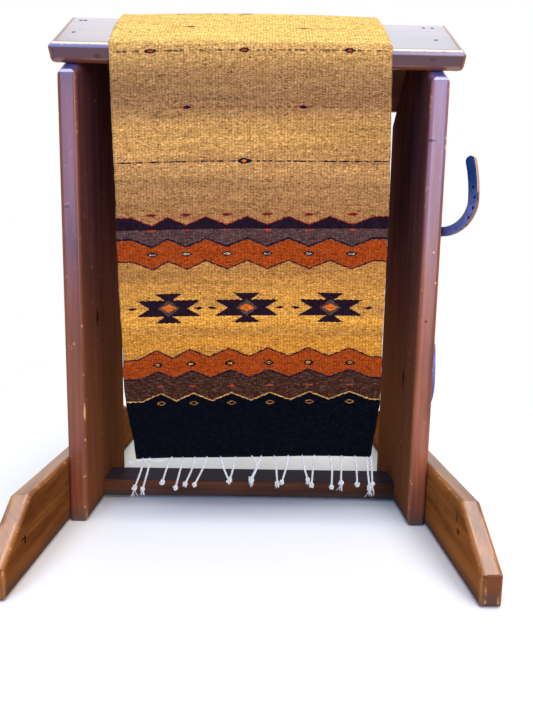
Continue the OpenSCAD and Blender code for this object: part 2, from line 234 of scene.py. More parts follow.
class Graph:
    """A new material, or another node tree, and short calls that add its nodes."""

    def __init__(self, name, **settings):
        self.material = bpy.data.materials.new(name)
        self.material.use_nodes = True
        self.tree = self.material.node_tree
        self.shader = self.tree.nodes["Principled BSDF"]
        for socket, value in settings.items():
            self.shader.inputs[socket.replace("_", " ")].default_value = value

    @classmethod
    def of_tree(cls, tree):
        g = cls.__new__(cls)
        g.tree = tree
        return g

    def feed(self, socket, value):
        if isinstance(value, Value):
            self.tree.links.new(value.socket, socket)
        else:
            socket.default_value = value

    def node(self, kind, feeds=(), **settings):
        """A new node: feeds are pairs of a socket and its value, settings are its properties."""
        made = self.tree.nodes.new("ShaderNode" + kind)
        for name, value in settings.items():
            setattr(made, name, value)
        for socket, value in feeds:
            self.feed(made.inputs[socket], value)
        return made

    def value(self, kind, feeds, out=0, **settings):
        """What a new node works out."""
        return Value(self, self.node(kind, feeds, **settings).outputs[out])

    def math(self, operation, *values, clamp=False):
        return self.value("Math", enumerate(values), operation=operation, use_clamp=clamp)

    def length(self, *parts, clamp=False):
        return self.math("SQRT", sum(part * part for part in parts), clamp=clamp)

    def least(self, *values):
        return reduce(partial(self.math, "MINIMUM"), values)

    def most(self, *values):
        return reduce(partial(self.math, "MAXIMUM"), values)

    def ramp(self, value, low, high, to_low=0.0, to_high=1.0, smooth=True):
        """The value's place between low and high, clamped, from to_low to to_high."""
        feeds = enumerate((value, low, high, to_low, to_high))
        return self.value("MapRange", feeds, interpolation_type="SMOOTHSTEP" if smooth else "LINEAR")

    def mix(self, share, under, over, blend="MIX"):
        feeds = (("Factor", share), (6, under), (7, over))
        return self.value("Mix", feeds, 2, data_type="RGBA", blend_type=blend)

    def tint(self, share, over):
        """Lays a colour over the material's colour so far."""
        self.colour = self.mix(share, self.colour, over)

    def window(self, value, rise, fall):
        return self.ramp(value, *rise) * self.ramp(value, *fall)

    def glow(self, kind, colour, strength):
        return self.node(kind, (("Color", colour), ("Strength", strength)))

    def mix_shaders(self, share, under, over):
        made = self.node("MixShader", [(0, share)])
        self.tree.links.new(under.outputs[0], made.inputs[1])
        self.tree.links.new(over.outputs[0], made.inputs[2])
        return made.outputs[0]

    def vector(self, x, y, z):
        return self.value("CombineXYZ", enumerate((x, y, z)))

    def scaled(self, place, scale):
        return self.vector(*[part * scale for part in place])

    def split(self, socket):
        made = self.node("SeparateXYZ")
        self.tree.links.new(socket, made.inputs[0])
        return [Value(self, out) for out in made.outputs]

    def place(self):
        """X, Y and Z in metres. Every piece's origin is the frame's."""
        return self.split(self.node("TexCoord").outputs["Object"])

    def normal(self):
        return self.split(self.node("TexCoord").outputs["Normal"])

    def noise(self, vector, detail=3.0, roughness=0.5, distortion=0.0, scale=1.0):
        feeds = (("Vector", vector), ("Scale", scale), ("Detail", detail),
                 ("Roughness", roughness), ("Distortion", distortion))
        return self.value("TexNoise", feeds, "Fac")

    def speck(self, x, y):
        """A random number for each cell of whole x and y."""
        return self.value("TexWhiteNoise", [("Vector", self.vector(x, y, 0.0))], noise_dimensions="2D")

    def colour_ramp(self, value, stops):
        made = self.node("ValToRGB", [(0, value)])
        ramp = made.color_ramp
        while len(ramp.elements) < len(stops):
            ramp.elements.new(1.0)
        for element, (place, colour) in zip(ramp.elements, stops):
            element.position = place
            element.color = colour
        return Value(self, made.outputs[0])

    def curve(self, value, points):
        """Straight lines through points, both ways from 0 to 1."""
        made = self.node("FloatCurve", [("Value", value)])
        line = made.mapping.curves[0]
        for _ in range(len(points) - 2):
            line.points.new(0.5, 0.5)
        for point, place in zip(line.points, points):
            point.location = place
            point.handle_type = "VECTOR"
        made.mapping.update()
        return Value(self, made.outputs[0])

    def bump(self, height, distance, strength):
        return self.value("Bump", (("Height", height), ("Distance", distance), ("Strength", strength)))

    def set(self, socket, value):
        self.feed(self.shader.inputs[socket], value)


# ---- the rug's wool ----

# Painted sunlight: the gold over the roof, painted lighter as if lit from above
SUNLIT_GOLD = srgb(248, 200, 108)
WEFT_BAND = srgb(140, 98, 56)
SMUDGE = srgb(116, 86, 60)
LIGHT_YARN = srgb(140, 104, 88)
BLUISH_YARN = srgb(52, 62, 84)
# Tones of the gold ground along it, partly dye lots and partly painted shade: millimetres from the
# middle row, then red, green and blue
DYE_LOTS_AND_SHADE = ((6, 208, 159, 89), (28, 179, 133, 78), (48, 165, 122, 74), (88, 154, 112, 71),
            (113, 178, 131, 77), (136, 201, 149, 81), (165, 210, 156, 84), (190, 204, 150, 85),
            (230, 184, 134, 79), (276, 166, 118, 70), (410, 187, 128, 61), (470, 214, 150, 63),
            (505, 228, 160, 64), (540, 208, 140, 51))
ORANGE = srgb(156, 64, 19)
UPPER_BROWN = srgb(80, 55, 50)
LOWER_BROWN = srgb(62, 35, 22)
EGGPLANT = srgb(34, 19, 30)
NAVY = srgb(12, 20, 40)
BLACK = srgb(3, 5, 12)
RED = srgb(168, 62, 40)
FADED_RED = srgb(150, 66, 44)
MAROON = srgb(92, 34, 38)
CREAM = srgb(182, 164, 122)
OLIVE = srgb(78, 62, 50)
BRIGHT_ORANGE = srgb(214, 104, 34)
THREAD_GOLD = srgb(206, 152, 84)
DULL_GOLD = srgb(150, 100, 48)

# Across the rug, in millimetres from its middle: where the zigzags turn, and the stars' middles
COLUMNS = (-192, -125, -46, 32.5, 114, 198)
TURNS = (-231, -161, -87, -6.5, 74.5, 155, 240)
STARS = (-164, -8.6, 158)
STAR_TIES = (-236, -104, -77, 57, 88, 234)
# Along the rug, in millimetres from its middle row: a zigzag's turns nearer to and farther from it
TOP_ZIGZAG = (302, 318)
TOP_STRAIGHT = 326.5
UPPER_ORANGE = (344, 360)
UPPER_GOLD = (387, 403.5)
STAR_ROW = 479.5
LOWER_ORANGE = (560, 577)
LOWER_BROWN_EDGE = (604, 620)
BLACK_EDGE = (650.5, 666)
MAROON_ROW = 101.0
NAVY_ROW = 199.5
ROW_HALF = 1.2  # half the width of those two rows
# Small motifs on the columns: place along, then half sizes and thread, the outermost first
COLUMN_MOTIFS = (
    (299.0, ((13, 3.2, RED), (8, 2.6, MAROON))),
    (328.5, ((9, 1.6, RED),)),
    (374.0, ((11.5, 4.5, NAVY), (6.8, 2.0, CREAM), (2.4, 0.9, OLIVE))),
    (590.0, ((10.5, 5.6, BLACK), (5.5, 2.4, THREAD_GOLD), (2.2, 1.0, NAVY))),
    (636.0, ((9, 1.8, RED),)),
    (671.0, ((10, 4.2, DULL_GOLD), (7, 2.4, BLACK))))


def zigzag_profile(g, across):
    """0 at the columns and 1 at the turns between them."""
    half = RUG_W / MM / 2
    knots = [(-half, 1)] + sorted([(x, 0) for x in COLUMNS] + [(x, 1) for x in TURNS]) + [(half, 1)]
    return g.curve(across / (2 * half) + 0.5, [(x / (2 * half) + 0.5, y) for x, y in knots])


def nearest(g, across, middles):
    return g.least(*[abs(across - middle) for middle in middles])


def diamond(dx, dy, half_w, half_h):
    """1 inside a diamond of these half sizes."""
    return dx / half_w + dy / half_h < 1


def lens(dx, dy, half_w, half_h):
    """1 inside a shape with blunter sides than a diamond."""
    share = dx / half_w
    return share * share + dy / half_h < 1


def motifs(g, dx, dy, sizes):
    """One small motif in threads of several colours, the outermost first."""
    for half_w, half_h, thread in sizes:
        g.tint(lens(dx, dy, half_w, half_h), thread)


def zigzag_bands(g, along, profile):
    """Zigzag bands of colour, edged with thread. Gives back where the two heathered brown bands
    are, and the edge of the black one."""
    def band(ends, points_up, field, thread, width):
        nearer, farther = ends
        reach = (farther - nearer) * profile
        edge = farther - reach if points_up else nearer + reach
        g.tint(along > edge, field)
        g.tint(abs(along - edge) < width, thread)
        return edge

    ground = g.colour
    band(TOP_ZIGZAG, True, EGGPLANT, RED, 0.9)
    g.tint(along > TOP_STRAIGHT, UPPER_BROWN)
    upper_orange = band(UPPER_ORANGE, True, ORANGE, NAVY, 1.9)
    band(UPPER_GOLD, True, ground, NAVY, 1.3)
    band(LOWER_ORANGE, False, ORANGE, NAVY, 1.4)
    lower_brown = band(LOWER_BROWN_EDGE, False, LOWER_BROWN, NAVY, 1.7)
    black = band(BLACK_EDGE, False, BLACK, THREAD_GOLD, 1.15)
    upper_heather = (along > TOP_STRAIGHT) * (along < upper_orange)
    return upper_heather + (along > lower_brown) * (along < black), black


def thin_rows(g, across, along, column):
    """Broken lines of dark thread on the gold ground, with a few small motifs."""
    broken = g.ramp(g.speck(column, 5.0), 0.25, 0.6)
    g.tint((along < 1.4) * broken * 0.75, NAVY)
    motifs(g, nearest(g, across, (-186, -11, 186)), along, [(12, 4.3, NAVY), (5.5, 2.4, ORANGE)])
    from_row = abs(along - MAROON_ROW)
    g.tint((from_row < ROW_HALF) * ((abs(across - 40) < 190) * broken * 0.6), MAROON)
    motifs(g, nearest(g, across, (-119, 101)), from_row, [(13, 3.4, FADED_RED), (7.5, 2.8, NAVY)])
    from_row = abs(along - NAVY_ROW)
    g.tint((from_row < ROW_HALF) * (0.35 + 0.65 * broken), NAVY)
    motifs(g, abs(across + 12), from_row, [(15.5, 5.4, NAVY), (5.5, 2.4, BRIGHT_ORANGE)])


def stars(g, across, along):
    """Eight-pointed stars with a ringed middle, and small diamonds tied to them."""
    body_w, body_h, waist, foot, tip = 63, 16, 38, 8, 29  # half sizes in millimetres
    dx = nearest(g, across, STARS)
    dy = abs(along - STAR_ROW)
    notch = dx < waist + dy * (25 / 15)
    body = (dx < body_w) * (dy < body_h) * notch
    horns = (dx < foot + (dy - body_h) * (18 / 12)) * (dy > body_h - 1) * (dy < tip)
    g.tint(g.most(body, horns), EGGPLANT)
    g.tint(diamond(dx, dy, 22, 16.5), OLIVE)
    g.tint(diamond(dx, dy, 16, 8), BRIGHT_ORANGE)
    g.tint(diamond(nearest(g, across, STAR_TIES), dy, 11, 3.1), EGGPLANT)


def gold_ground(g, across, along, signed):
    """Gold wool in bands of tone, partly dye lots and partly painted shade, streaked along the weft,
    and with painted sunlight where it lies over the roof."""
    farthest = 600
    share = g.ramp(along, 0, farthest, smooth=False)
    # Painted shade: part of these tones along the rug stands in for shade on its front
    g.colour = g.colour_ramp(share, [(place / farthest, srgb(*lot)) for place, *lot in DYE_LOTS_AND_SHADE])
    over_roof = g.ramp(signed, -4.0, -26.0)
    # Painted sunlight: the gold is painted lighter where it lies over the roof
    g.tint(over_roof, SUNLIT_GOLD)
    streak = g.noise(g.vector(across * 0.006, signed * 0.10, 0.0), 4.0, 0.7)
    tone = g.ramp(streak, 0.3, 0.7, 0.80, 1.16, smooth=False)
    g.colour = g.mix(1.0, g.colour, g.vector(tone, tone, tone), "MULTIPLY")
    banding = g.noise(g.vector(across * 0.002, signed * 0.035, 7.0), 2.0)
    g.tint(g.ramp(banding, 0.5, 0.66) * (1 - over_roof) * 0.35, WEFT_BAND)
    smudge = 1 - g.length((across + 176) / 30, (signed - 112) / 16, clamp=True)
    g.tint(smudge * 0.5, SMUDGE)


def wool_pattern(g, across, signed, column):
    """The rug's colours at a place in millimetres. The bands and motifs are alike on both sides of
    the middle row."""
    along = abs(signed)
    gold_ground(g, across, along, signed)
    heather, black = zigzag_bands(g, along, zigzag_profile(g, across))
    thin_rows(g, across, along, column)
    from_column = nearest(g, across, COLUMNS)
    for row, sizes in COLUMN_MOTIFS:
        motifs(g, from_column, abs(along - row), sizes)
    stars(g, across, along)
    light_yarn = g.speck(column * 1.7, g.math("FLOOR", signed / 1.2)) > 0.72
    g.tint(heather * light_yarn * 0.2, LIGHT_YARN)
    g.tint((along > black + 2.0) * light_yarn * 0.05, BLUISH_YARN)


def wool():
    """Weft-faced plain weave: a stack of beads hides each warp, half a bead off the next stack."""
    g = Graph("woven_wool", Roughness=0.95, Sheen_Weight=0.02, Sheen_Roughness=0.5,
              Specular_IOR_Level=0.02)
    cloth = g.node("Attribute", attribute_name="cloth")
    x, y, _ = g.split(cloth.outputs["Vector"])
    across, along = x / MM, y / MM
    column = g.math("FLOOR", across / WARP)
    half_step = 0.5 * g.math("PINGPONG", column, 1.0)
    wander = 0.35 * (g.noise(g.vector(across * 0.05, y * 60, 3.0), 2.0) - 0.5)
    stack = along / BEAD + half_step + wander
    row = g.math("FLOOR", stack)
    thread_across = (g.math("FLOOR", across / (WARP / 2)) + 0.5) * (WARP / 2)
    thread_along = 0.4 * along + 0.6 * (row + 0.5 - half_step) * BEAD
    wool_pattern(g, thread_across, thread_along, column)

    # Painted shade and painted highlight of the weave: each bead's crown is painted lighter, the gaps
    # between beads and warps darker
    in_column = g.math("FRACT", across / WARP) - 0.5
    in_bead = g.math("FRACT", stack) - 0.5
    side = g.math("POWER", g.math("COSINE", in_column * (0.96 * pi)), 0.3)
    crown = g.math("POWER", g.math("COSINE", in_bead * (0.92 * pi)), 0.7)
    hump = side * crown
    fibre = g.noise(g.vector(across * 0.15, along * 0.42, 0.0), 3.0, 0.68, 1.6)
    yarn = g.speck(column, row)
    shade = (0.48 + 0.62 * hump) * (0.86 + 0.28 * yarn) + 4.0 * (fibre - 0.5)
    shade = g.most(shade, 0.12)
    # Green and blue follow the painted shade more steeply, so painted highlights turn creamy and the
    # gaps browner; green and blue are also trimmed a little
    shade_green_blue = g.math("POWER", shade, 1.24)
    tint = g.vector(shade, 0.955 * shade_green_blue, 0.90 * shade_green_blue)
    g.set("Base Color", g.mix(1.0, g.colour, tint, "MULTIPLY"))
    height = hump + 0.7 * fibre + 0.25 * yarn
    g.set("Normal", g.bump(height, 0.0011, 0.9))
    return g.material


# ---- the rug's mesh ----

def drape():
    """Measures of the rug's middle line over the roof: radii and middles of its bends, and lengths
    of its arcs and slopes."""
    bend = EAVE_R + RUG_CLEAR + RUG_T / 2
    ridge = RIDGE_R + RUG_CLEAR + RUG_T / 2
    eave_y = -ROOF_LOW.y - EAVE_R
    apex_h = RUG_HIGH.z - RIDGE_R - (RUG_HIGH.y - RUG_LOW.y - 2 * (eave_y + EAVE_R)) / 2
    eave_h = apex_h + (RIDGE_R - EAVE_R - sin(ROOF_SLOPE) * eave_y) / cos(ROOF_SLOPE)
    between = hypot(eave_y, apex_h - eave_h)
    slope = sqrt(between ** 2 - (ridge - bend) ** 2)
    turn = pi / 2 - ROOF_SLOPE
    return SimpleNamespace(bend=bend, ridge=ridge, eave_y=eave_y, eave_h=eave_h, apex_h=apex_h,
                           slope=slope, eave_arc=bend * turn, ridge_arc=2 * ridge * ROOF_SLOPE)


DRAPE = drape()
OVER_ROOF = 2 * DRAPE.eave_arc + 2 * DRAPE.slope + DRAPE.ridge_arc
FRONT_LEN = DRAPE.eave_h - CENTRE_DROP - RUG_LOW.z + HEM_SAG
REAR_LEN = CENTRE_DROP + OVER_ROOF + DRAPE.eave_h - (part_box("rear_fringe")[1].z)


def on_drape(s):
    """Point and outward normal in Y and Z, s metres in front of the rug's middle row."""
    d = DRAPE
    up = -s - CENTRE_DROP  # distance past the front eave's bend, over the roof
    mirrored = up > OVER_ROOF / 2
    if mirrored:
        up = OVER_ROOF - up
    if up < d.eave_arc + d.slope:
        a = pi - min(max(up, 0.0), d.eave_arc) / d.bend
        t = max(up - d.eave_arc, 0.0)
        y = -d.eave_y + d.bend * cos(a) + t * cos(ROOF_SLOPE)
        z = d.eave_h + d.bend * sin(a) + t * sin(ROOF_SLOPE) + min(up, 0.0)
    else:
        a = pi / 2 + ROOF_SLOPE - (up - d.eave_arc - d.slope) / d.ridge
        y, z = d.ridge * cos(a), d.apex_h + d.ridge * sin(a)
    ny, nz = cos(a), sin(a)
    return ((-y, z), (-ny, nz)) if mirrored else ((y, z), (ny, nz))


# The rug's edges: place along it in metres, then X of its left and right edge in millimetres
SIDES = ((-0.80, -247, 232), (-0.74, -257, 243), (-0.66, -266, 252), (-0.42, -272, 256),
         (-0.20, -276, 255), (0, -272, 258.5), (0.14, -269, 261.5), (0.27, -265.5, 264),
         (0.35, -264.5, 264.4), (0.43, -261.5, 264.2), (0.51, -257.5, 263.8), (0.56, -254.8, 264.2),
         (0.605, -255, 264.8), (0.64, -252.8, 265), (0.67, -249.8, 264.6), (0.70, -245.6, 262.3),
         (0.74, -237.6, 256.7), (0.783, -231.5, 250.8))
# Where rows wander near an end: side, place along, spread and drop, in metres
ROW_WANDER = ((-1, 0.575, 0.035, 0.005), (1, 0.660, 0.030, -0.0026), (1, 0.330, 0.050, -0.0014))
# X of the middle of the woven rows, at places along
ROWS_MIDDLE = ((0, -0.0082), (0.30, -0.0035), (0.50, 0.0005), (0.68, 0.0094), (0.79, 0.0100))
# How far the rows are drawn in, at distances from either hem
ROWS_SCALE = ((0, 0.925), (0.115, 0.978), (0.26, 0.994), (0.42, 1.003))
HEM_THICKNESS = 0.55  # the cloth's thickness at its hems, as a share
SELVEDGE_THICKNESS = 0.6
SELVEDGE_SWELL = 0.25  # how much thicker the rows beside a selvedge are


def smooth_steps(at, points):
    """Smooth steps through (place, value) points."""
    for (a, low), (b, high) in zip(points, points[1:]):
        if at <= b:
            t = min(max((at - a) / (b - a), 0.0), 1.0)
            return low + (high - low) * t * t * (3 - 2 * t)
    return points[-1][1]


def smooth_line(at, points):
    """A smooth curve through (place, value) points."""
    places = [place for place, _ in points]
    i = min(max(bisect_right(places, at) - 1, 0), len(points) - 2)

    def slope(k):
        (a, low), (b, high) = points[max(k - 1, 0)], points[min(k + 1, len(points) - 1)]
        return (high - low) / (b - a)
    (a, low), (b, high) = points[i], points[i + 1]
    t = min(max((at - a) / (b - a), 0.0), 1.0)
    return (low * (1 + 2 * t) * (1 - t) ** 2 + high * t * t * (3 - 2 * t)
            + (b - a) * (slope(i) * t * (1 - t) ** 2 - slope(i + 1) * t * t * (1 - t)))


def rug_sides(s):
    """X of the rug's left and right edges: it swings to the right and draws in towards the hems."""
    return [smooth_line(s, [(row[0], row[side] * MM) for row in SIDES]) for side in (1, 2)]


def rows_scale(s):
    """How far the rows are drawn in, towards either hem."""
    from_hem = (FRONT_LEN - s) if s > 0 else (REAR_LEN + s)
    return smooth_steps(from_hem, ROWS_SCALE)


def row_skew(across, s):
    """How much lower a row hangs at this share of the half width: it sags to the left, and
    wanders a little near its ends."""
    skew = -0.0062 * across + 0.0034 * across ** 2 - 0.0010
    for side, middle, spread, drop in ROW_WANDER:
        skew += drop * max(side * across - 0.3, 0) / 0.7 * exp(-((s - middle) / spread) ** 2)
    return skew


def ripple(x, s):
    """How far the cloth stands off its straight hang."""
    up = -s - CENTRE_DROP
    if up > OVER_ROOF / 2:
        up = OVER_ROOF - up
    slope_share = (up - DRAPE.eave_arc) / DRAPE.slope
    edge = abs(x / (RUG_W / 2))
    lift = 0.0
    if 0 < slope_share < 1:
        lift += (0.002 + 0.0025 * edge ** 3) * sin(pi * slope_share)
    if slope_share > 0.85:
        crown = 0.0020 - 0.0045 * edge ** 2.2 + 0.0022 * x / (RUG_W / 2)
        lift += crown * min((slope_share - 0.85) / 0.15, 1) ** 2
    if up < 0:
        hang = min(-up / 0.25, 1.0)
        wave = noise.noise(Vector((x * 3.1, s * 2.3, 1.7)))
        fine = noise.noise(Vector((x * 9.0, s * 7.0, 5.2)))
        lift += hang * (0.006 * wave + 0.0012 * fine)
        lift += hang * 0.0025 * cos(x / RUG_W * tau * 1.5 + 0.6)
    return lift


def rug_point(share, s):
    """Point and normal of the rug's middle surface: share is -1 to 1 across, s as in on_drape."""
    left, right = rug_sides(s)
    x = (left + right) / 2 + share * (right - left) / 2
    x += share ** 8 * 0.0011 * noise.noise(Vector((share * 3, s * 60, 0.3)))
    place = s + row_skew(share, s)
    (y, z), (ny, nz) = on_drape(place)
    lift = ripple(x, place)
    return Vector((x, y + ny * lift, z + nz * lift)), Vector((0, ny, nz))


def sleeve(first, rings, sides):
    """Faces between rings of points that follow one another from the first."""
    faces = []
    for k in range(rings - 1):
        for i in range(sides):
            a, b = first + k * sides + i, first + k * sides + (i + 1) % sides
            faces.append((a, b, b + sides, a + sides))
    return faces


def make_rug():
    """A closed cloth: rings of points round its section, one ring for each step along it."""
    columns = round(RUG_W / CELL) + 1
    shares = [-1 + 2 * i / (columns - 1) for i in range(columns)]
    steps = round((FRONT_LEN + REAR_LEN) / CELL)
    lengths = [FRONT_LEN - (FRONT_LEN + REAR_LEN) * j / steps for j in range(steps + 1)]
    vertices, cloth = [], []
    for j, s in enumerate(lengths):
        row = [rug_point(share, s) for share in shares]
        thin = HEM_THICKNESS if j in (0, steps) else 1.0
        for side in (1, -1):
            order = range(columns) if side == 1 else range(columns - 1, -1, -1)
            for i in order:
                at, out = row[i]
                edge = SELVEDGE_THICKNESS if i in (0, columns - 1) else 1.0
                swell = 1 + SELVEDGE_SWELL * (i in (1, 2, columns - 3, columns - 2))
                vertices.append(at + out * side * RUG_T / 2 * thin * edge * swell)
                cloth.append(((at.x - smooth_steps(s, ROWS_MIDDLE)) / rows_scale(s), s, side))
    ring = 2 * columns
    faces = sleeve(0, steps + 1, ring)
    for j, flip in ((0, True), (steps, False)):
        for i in range(columns - 1):
            quad = (j * ring + i, j * ring + i + 1, j * ring + ring - 2 - i, j * ring + ring - 1 - i)
            faces.append(quad[::-1] if flip else quad)
    mesh = bpy.data.meshes.new("draped_rug")
    mesh.from_pydata(vertices, [], faces)
    flat = mesh.attributes.new("cloth", "FLOAT_VECTOR", "POINT")
    flat.data.foreach_set("vector", np.array(cloth, np.float32).ravel())
    mesh.materials.append(wool())
    rug = add_piece("draped_rug", mesh)
    face_outwards(mesh)
    return rug


def face_outwards(mesh):
    work = bmesh.new()
    work.from_mesh(mesh)
    bmesh.ops.recalc_face_normals(work, faces=work.faces)
    work.to_mesh(mesh)
    work.free()


def add_piece(name, mesh):
    mesh.polygons.foreach_set("use_smooth", [True] * len(mesh.polygons))
    return put(name, mesh)


# ---- fringes ----

PLY_R = 0.0013
PLY_SIDES = 6
TWIST_PITCH = 0.0075
KNOT_STEPS = 48
FRAY_YARNS = 7
FRAY_SIDES = 5
HEM_COVER = 4  # millimetres of each strand inside the cloth
REAR_STRANDS = 19
REAR_REACH = 222  # X of the outermost rear strands in millimetres, before random shifts

# Front strands in millimetres: X at the hem, X at the knot, drop to the knot, tail below it, bow
FRONT_STRANDS = (
    (-217, -236, 63, 21, 3), (-203, -219, 65, 15, 2), (-157, -178, 52, 5, -2), (-135, -151, 64, 6, 1),
    (-110, -131, 58, 6, 3), (-85, -111, 58, 5, 2), (-58, -40, 49, 8, -2), (-27, -38, 48, 7, 1),
    (5, 5, 47, 13, 11), (26, 6, 50, 15, 1), (52, 60, 60, 8, 1), (81, 69, 55, 5, 2),
    (110, 123, 51, 12, -2), (135, 131, 63, 5, 0), (165, 173, 67, 5, 4), (191, 192, 58, 22, 0),
    (218, 226, 60, 7, 1), (243, 251, 66, 20, -1), (250, 257, 59, 22, 1))
# A warp end loose along the front hem, in millimetres: X and drop below it
LOOSE_END = ((-241, 7), (-232, 5), (-223, 2.5), (-212, 1), (-201, 2), (-190, 5), (-181, 5.5), (-172, 2))


def heading(line, k):
    return (line[min(k + 1, len(line) - 1)] - line[max(k - 1, 0)]).normalized()


def tube(thread, line, radii, sides=PLY_SIDES):
    """Adds a closed tube round a line of points."""
    vertices, faces = thread
    first = len(vertices)
    across = Vector((0.3, 1, 0.2))
    for k, point in enumerate(line):
        ahead = heading(line, k)
        across = (across - ahead * across.dot(ahead)).normalized()
        other = ahead.cross(across)
        for i in range(sides):
            a = tau * i / sides
            vertices.append(point + radii[k] * (cos(a) * across + sin(a) * other))
    faces.extend(sleeve(first, len(line), sides))
    last = first + (len(line) - 1) * sides
    faces.append(tuple(first + i for i in range(sides))[::-1])
    faces.append(tuple(last + i for i in range(sides)))


def curve_through(points, step=0.0012):
    """A Catmull-Rom curve through points, sampled about every step."""
    points = [2 * points[0] - points[1], *points, 2 * points[-1] - points[-2]]
    line = []
    for a, b, c, d in zip(points, points[1:], points[2:], points[3:]):
        count = max(2, round((c - b).length / step))
        for i in range(count):
            t = i / count
            line.append(0.5 * (2 * b + (c - a) * t + (2 * a - 5 * b + 4 * c - d) * t * t
                               + (3 * b - a - 3 * c + d) * t ** 3))
    return line + [points[-2]]


def twisted(thread, line, spread=1.0, start=0.0):
    """Two plies twisted round a line."""
    length = 0.0
    plies = ([], [])
    for k, point in enumerate(line):
        if k:
            length += (point - line[k - 1]).length
        ahead = heading(line, k)
        across = ahead.cross(Vector((0.2, 1, 0.1))).normalized()
        other = ahead.cross(across)
        for side in (0, 1):
            a = tau * length / TWIST_PITCH + pi * side + start
            offset = 0.8 * PLY_R * spread * (cos(a) * across + sin(a) * other)
            plies[side].append(point + offset)
    for ply in plies:
        tube(thread, ply, [PLY_R] * len(ply))


def knot(thread, at, size, rng):
    """An overhand knot, pulled tight."""
    turn = rng.uniform(0, tau)
    line = []
    for i in range(KNOT_STEPS + 1):
        a = tau * i / KNOT_STEPS
        radius = size * (0.62 + 0.38 * cos(3 * a))
        local = Vector((radius * cos(2 * a), 0.75 * size * sin(3 * a), 1.15 * radius * sin(2 * a)))
        local.rotate(Matrix.Rotation(turn, 3, "Z"))
        line.append(at + local)
    tube(thread, line, [1.3 * PLY_R] * len(line))


def frayed_tail(thread, at, length, rng):
    """Loose yarns that spread out below a knot."""
    for _ in range(FRAY_YARNS):
        lean = Vector((rng.uniform(-0.35, 0.35), rng.uniform(-0.25, 0.25), -1))
        bend = Vector((rng.uniform(-0.2, 0.2), rng.uniform(-0.2, 0.2), 0))
        long = length * rng.uniform(0.6, 1.05)
        line = curve_through([at, at + lean * long * 0.5, at + (lean + bend) * long])
        radii = [PLY_R * (0.62 - 0.3 * k / len(line)) for k in range(len(line))]
        tube(thread, line, radii, FRAY_SIDES)


def strand(thread, top, foot, bow, tail, rng):
    """One warp end: twisted down to its knot, then a frayed tail."""
    middle = (top + foot) / 2 + Vector((bow, rng.uniform(-0.003, 0.001), 0))
    quarter = top.lerp(middle, 0.45) + Vector((bow * 0.35, rng.uniform(-0.001, 0.001), 0))
    line = curve_through([top, quarter, middle, foot])
    twisted(thread, line, start=rng.uniform(0, tau))
    knot(thread, foot, rng.uniform(0.0038, 0.0048), rng)
    frayed_tail(thread, foot, tail, rng)


def hem_point(x, front):
    """Where a strand leaves a hem, a little inside the cloth."""
    s = FRONT_LEN if front else -REAR_LEN
    left, right = rug_sides(s)
    at, _ = rug_point((2 * x - left - right) / (right - left), s)
    return at + Vector((0, 0, HEM_COVER * MM))


def fringe_mesh(name, strands, front, seed, extra=None):
    rng = random.Random(seed)
    thread = ([], [])
    for at_hem, at_knot, drop, tail, bow in strands:
        top = hem_point(at_hem * MM, front)
        out = rng.uniform(-0.004, 0.002) * (1 if front else -1)
        foot = Vector((at_knot * MM, top.y + out, top.z - (drop + HEM_COVER) * MM))
        strand(thread, top, foot, bow * MM, tail * MM, rng)
    if extra:
        forward = -0.0035
        line = [hem_point(x * MM, front) + Vector((0, forward, -(HEM_COVER + drop) * MM))
                for x, drop in extra]
        twisted(thread, curve_through(line), spread=1.2)
        knot(thread, line[0], 0.0038, rng)
        frayed_tail(thread, line[0], 0.007, rng)
    mesh = bpy.data.meshes.new(name)
    mesh.from_pydata(thread[0], [], thread[1])
    return add_piece(name, mesh)


def rear_strands():
    """The rear hem's strands, about evenly spaced."""
    rng = random.Random(11)
    rows = []
    for i in range(REAR_STRANDS):
        x = -REAR_REACH + 2 * REAR_REACH * i / (REAR_STRANDS - 1) + rng.uniform(-6, 6)
        rows.append((x, x + rng.uniform(-12, 12), rng.uniform(46, 60), rng.uniform(5, 18),
                     rng.uniform(-4, 4)))
    return rows


def cotton():
    g = Graph("twisted_cotton", Roughness=0.9, Sheen_Weight=0.2, Specular_IOR_Level=0.2)
    x, y, z = g.place()
    fuzz = g.noise(g.vector(x * 900, y * 900, z * 350), 3.0, 0.6)
    soil = g.noise(g.vector(x, y, z), 2.0, scale=38.0)
    colour = g.mix(g.ramp(fuzz, 0.3, 0.7), srgb(150, 142, 132), srgb(244, 240, 230))
    g.set("Base Color", g.mix(g.ramp(soil, 0.5, 0.75) * 0.35, colour, srgb(186, 176, 158)))
    g.set("Normal", g.bump(fuzz, 0.0003, 0.7))
    return g.material


def make_fringes():
    material = cotton()
    front = fringe_mesh("front_knotted_fringe", FRONT_STRANDS, True, 5, LOOSE_END)
    rear = fringe_mesh("rear_knotted_fringe", rear_strands(), False, 8)
    for piece, node in ((front, "front_fringe"), (rear, "rear_fringe")):
        piece.data.materials.append(material)
        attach(piece, "rug")
        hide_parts(node)
    return [front, rear]


# ---- wood ----

STAIN = (srgb(74, 34, 22), srgb(106, 50, 30), srgb(134, 72, 44))  # dark, middle and light
# A lighter copy of the stain for the right upright's front board: painted reflection of the sky in its
# varnish
SHEEN_LIT_STAIN = (srgb(88, 42, 27), srgb(124, 60, 38), srgb(156, 86, 55))
RAIL_STAIN = (srgb(50, 28, 20), srgb(84, 46, 28), srgb(112, 66, 42))
FOOT_STAIN = (srgb(90, 46, 20), srgb(130, 74, 34), srgb(164, 102, 50))
# Painted shade on the front roof board's forward edge face, a dark purple-red
ROOF_FRONT_SHADE = srgb(66, 8, 34)
INNER_SHADE = srgb(40, 18, 12)
# Lighter, warmer brown for the inner faces towards the bottom
INNER_LOW_TONE = srgb(150, 98, 60)
# Painted reflection of the sky on the inner faces higher up
INNER_SKY_TINT = srgb(44, 48, 74)
